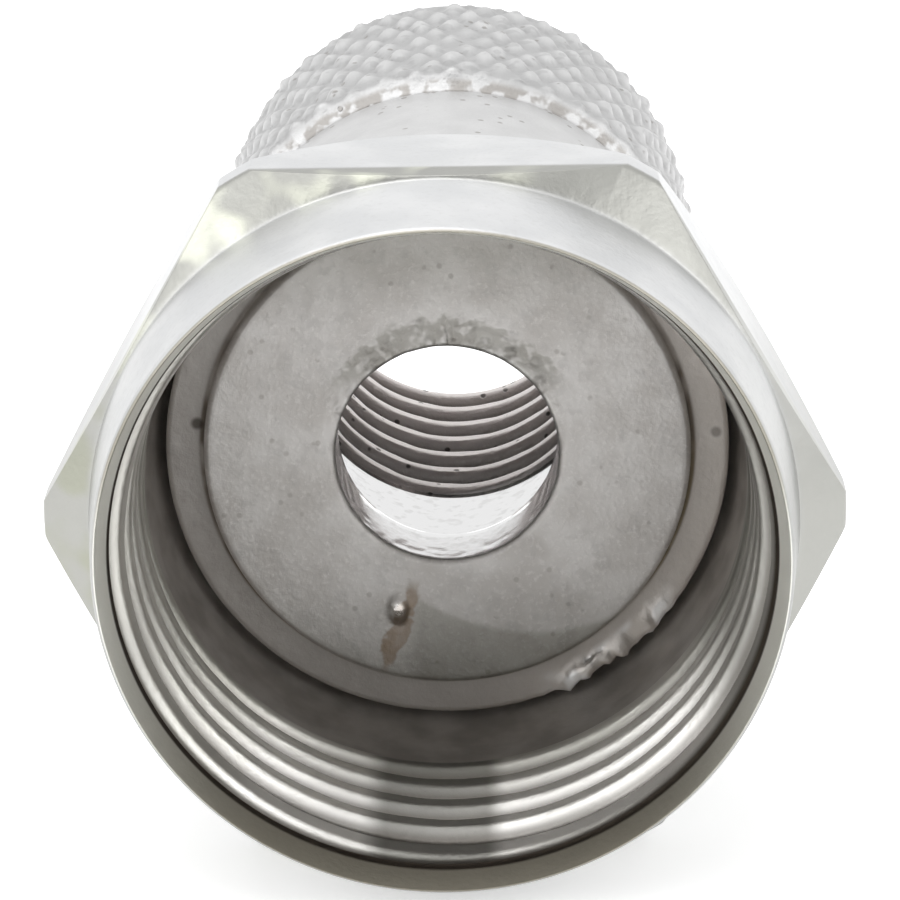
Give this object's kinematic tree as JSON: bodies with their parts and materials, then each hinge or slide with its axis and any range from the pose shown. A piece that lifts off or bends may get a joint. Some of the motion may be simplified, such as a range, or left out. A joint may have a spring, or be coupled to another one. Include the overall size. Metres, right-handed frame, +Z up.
{
  "type": "coaxial cable plug",
  "caption": "Twist-on coaxial plug: free-turning hex coupling nut, flanged post with a dielectric hole, and a barrel with a knurled collar.",
  "frame": {"origin": "middle of the box under the plug, on the surface that the hex's lower flat rests on", "axes": "+Y along the plug's axis from the nut's mouth to the cable entry, +Z up from the hex's lower flat"},
  "size_m": [0.0124, 0.02, 0.011],
  "materials": {
    "nut_plating": "bright nickel plating, satin on the hex and brown in the thread's grooves",
    "post_plating": "dull granular nickel plating with a brown stain below the hole",
    "barrel_plating": "pale matt nickel plating with small pits"
  },
  "bodies": {
    "plug": {"flange_post": "post_plating", "knurled_barrel": "barrel_plating"},
    "nut": {"coupling_nut": "nut_plating"}
  },
  "joints": [
    {"name": "nut_spin", "type": "hinge", "parent": "plug", "child": "nut", "pos_m": [0, 0, 0.0055], "axis": [0, 1, 0], "continuous": true}
  ]
}
